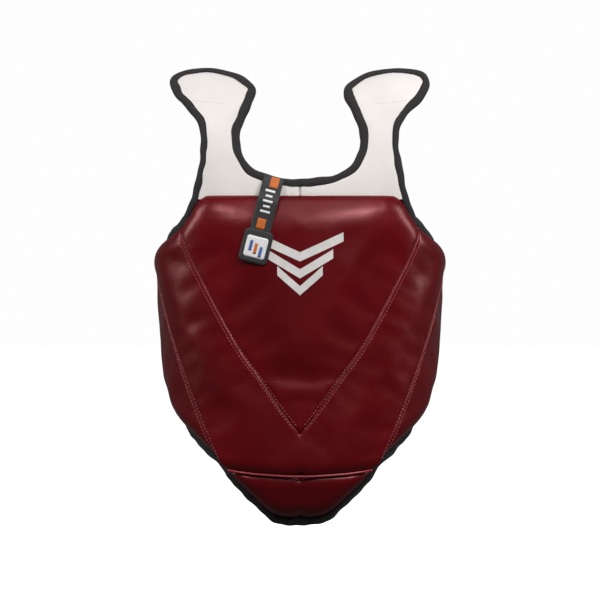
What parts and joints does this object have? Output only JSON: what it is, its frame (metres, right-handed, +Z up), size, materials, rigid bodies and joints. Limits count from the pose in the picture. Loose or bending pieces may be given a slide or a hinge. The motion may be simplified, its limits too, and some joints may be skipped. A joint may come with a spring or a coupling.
{
  "type": "body protector",
  "caption": "Padded trunk protector with side wings, shoulder straps, shoulder caps, a groin flap and elastic back straps.",
  "frame": {"origin": "middle of the wearer's trunk, level with the middle of the side wings", "axes": "+Z up along the trunk, wearer faces -Y, +X is the wearer's left"},
  "size_m": [0.3896, 0.2855, 0.5955],
  "materials": {
    "red_cover": "gloss",
    "cream_cover": "gloss",
    "binding_tape": "matte",
    "lining_fabric": "matte",
    "foam": "matte",
    "piping": "gloss",
    "print_film": "satin",
    "webbing": "matte",
    "hook_tape": "matte",
    "adjuster_plastic": "satin",
    "ribbon": "satin",
    "badge_patch": "satin"
  },
  "bodies": {
    "front": {"chest_cover": "red_cover", "chest_foam": "foam", "midriff_cover": "red_cover", "midriff_foam": "foam", "yoke_cover_left": "cream_cover", "yoke_cover_right": "cream_cover", "yoke_foam_left": "foam", "yoke_foam_right": "foam", "front_lining": "lining_fabric", "neck_binding": "binding_tape", "armhole_binding_left": "binding_tape", "armhole_binding_right": "binding_tape", "crease_piping": "piping", "chest_emblem": "print_film"},
    "groin_flap": {"groin_cover": "red_cover", "groin_foam": "foam", "groin_lining": "lining_fabric", "groin_binding": "binding_tape"},
    "tag": {"tag_ribbon": "ribbon", "tag_badge": "ribbon", "tag_patch": "badge_patch"},
    "wing_left": {"wing_cover_left": "red_cover", "wing_foam_left": "foam", "wing_lining_left": "lining_fabric", "wing_binding_left": "binding_tape", "back_strap_loop_left": "hook_tape", "closure_anchor_upper": "webbing", "closure_anchor_lower": "webbing"},
    "cap_left": {"cap_cover_left": "cream_cover", "cap_foam_left": "foam", "cap_lining_left": "lining_fabric", "cap_binding_left": "binding_tape", "strap_anchor_left": "webbing"},
    "back_strap_left": {"back_strap_left": "webbing", "back_strap_hook_left": "hook_tape"},
    "adjuster_left": {"adjuster_left": "adjuster_plastic"},
    "wing_right": {"wing_cover_right": "red_cover", "wing_foam_right": "foam", "wing_lining_right": "lining_fabric", "wing_binding_right": "binding_tape", "back_strap_loop_right": "hook_tape", "closure_loop_upper": "hook_tape", "closure_loop_lower": "hook_tape"},
    "cap_right": {"cap_cover_right": "cream_cover", "cap_foam_right": "foam", "cap_lining_right": "lining_fabric", "cap_binding_right": "binding_tape", "strap_anchor_right": "webbing"},
    "back_strap_right": {"back_strap_right": "webbing", "back_strap_hook_right": "hook_tape"},
    "adjuster_right": {"adjuster_right": "adjuster_plastic"},
    "closure_strap_upper": {"closure_strap_upper": "webbing"},
    "closure_tab_upper": {"closure_tab_upper": "webbing", "closure_hook_upper": "hook_tape"},
    "closure_strap_lower": {"closure_strap_lower": "webbing"},
    "closure_tab_lower": {"closure_tab_lower": "webbing", "closure_hook_lower": "hook_tape"}
  },
  "joints": [
    {"name": "groin_flap_fold", "type": "hinge", "parent": "front", "child": "groin_flap", "pos_m": [0, -0.1406, -0.19], "axis": [-1, 0, 0], "range_deg": [0, 45], "stiffness_Nm_per_rad": 0.35, "springref_deg": -5.73},
    {"name": "tag_lift", "type": "hinge", "parent": "front", "child": "tag", "pos_m": [-0.0335, -0.1247, 0.2005], "axis": [-0.9681, 0, 0.2504], "range_deg": [0, 80]},
    {"name": "wing_left_open", "type": "hinge", "parent": "front", "child": "wing_left", "pos_m": [0.15449, -0.08828, -0.055], "axis": [-0.2808, -0.3525, -0.8927], "range_deg": [0, 36], "stiffness_Nm_per_rad": 2.5, "springref_deg": -8.59},
    {"name": "cap_left_fold", "type": "hinge", "parent": "front", "child": "cap_left", "pos_m": [0.11, -0.07157, 0.28793], "axis": [-1, 0, 0], "range_deg": [0, 18], "stiffness_Nm_per_rad": 1, "springref_deg": -8.59},
    {"name": "back_strap_left_swing", "type": "hinge", "parent": "cap_left", "child": "back_strap_left", "pos_m": [0.116, -0.04824, 0.32791], "axis": [-1, 0, 0], "range_deg": [0, 14], "stiffness_Nm_per_rad": 0.2, "springref_deg": -20.05},
    {"name": "adjuster_left_slide", "type": "slide", "parent": "back_strap_left", "child": "adjuster_left", "axis": [0, 0, 1], "range_m": [-0.02, 0.02]},
    {"name": "wing_right_open", "type": "hinge", "parent": "front", "child": "wing_right", "pos_m": [-0.15449, -0.08828, -0.055], "axis": [-0.2808, 0.3525, 0.8927], "range_deg": [0, 36], "stiffness_Nm_per_rad": 2.5, "springref_deg": -8.59},
    {"name": "cap_right_fold", "type": "hinge", "parent": "front", "child": "cap_right", "pos_m": [-0.11, -0.07157, 0.28793], "axis": [-1, 0, 0], "range_deg": [0, 18], "stiffness_Nm_per_rad": 1, "springref_deg": -8.59},
    {"name": "back_strap_right_swing", "type": "hinge", "parent": "cap_right", "child": "back_strap_right", "pos_m": [-0.116, -0.04824, 0.32791], "axis": [-1, 0, 0], "range_deg": [0, 14], "stiffness_Nm_per_rad": 0.2, "springref_deg": -20.05},
    {"name": "adjuster_right_slide", "type": "slide", "parent": "back_strap_right", "child": "adjuster_right", "axis": [0, 0, 1], "range_m": [-0.02, 0.02]},
    {"name": "closure_upper_swing", "type": "hinge", "parent": "wing_left", "child": "closure_strap_upper", "pos_m": [0.077, 0.13622, 0.052], "axis": [0, 0, -1], "range_deg": [0, 120], "stiffness_Nm_per_rad": 0.02, "springref_deg": -11.46},
    {"name": "closure_upper_tab_fold", "type": "hinge", "parent": "closure_strap_upper", "child": "closure_tab_upper", "pos_m": [-0.0205, 0.14282, 0.052], "axis": [0, 0, -1], "range_deg": [0, 120], "stiffness_Nm_per_rad": 0.01, "springref_deg": -11.46},
    {"name": "closure_lower_swing", "type": "hinge", "parent": "wing_left", "child": "closure_strap_lower", "pos_m": [0.077, 0.13547, -0.03], "axis": [0, 0, -1], "range_deg": [0, 120], "stiffness_Nm_per_rad": 0.02, "springref_deg": -11.46},
    {"name": "closure_lower_tab_fold", "type": "hinge", "parent": "closure_strap_lower", "child": "closure_tab_lower", "pos_m": [-0.0205, 0.14279, -0.03], "axis": [0, 0, -1], "range_deg": [0, 120], "stiffness_Nm_per_rad": 0.01, "springref_deg": -11.46}
  ]
}
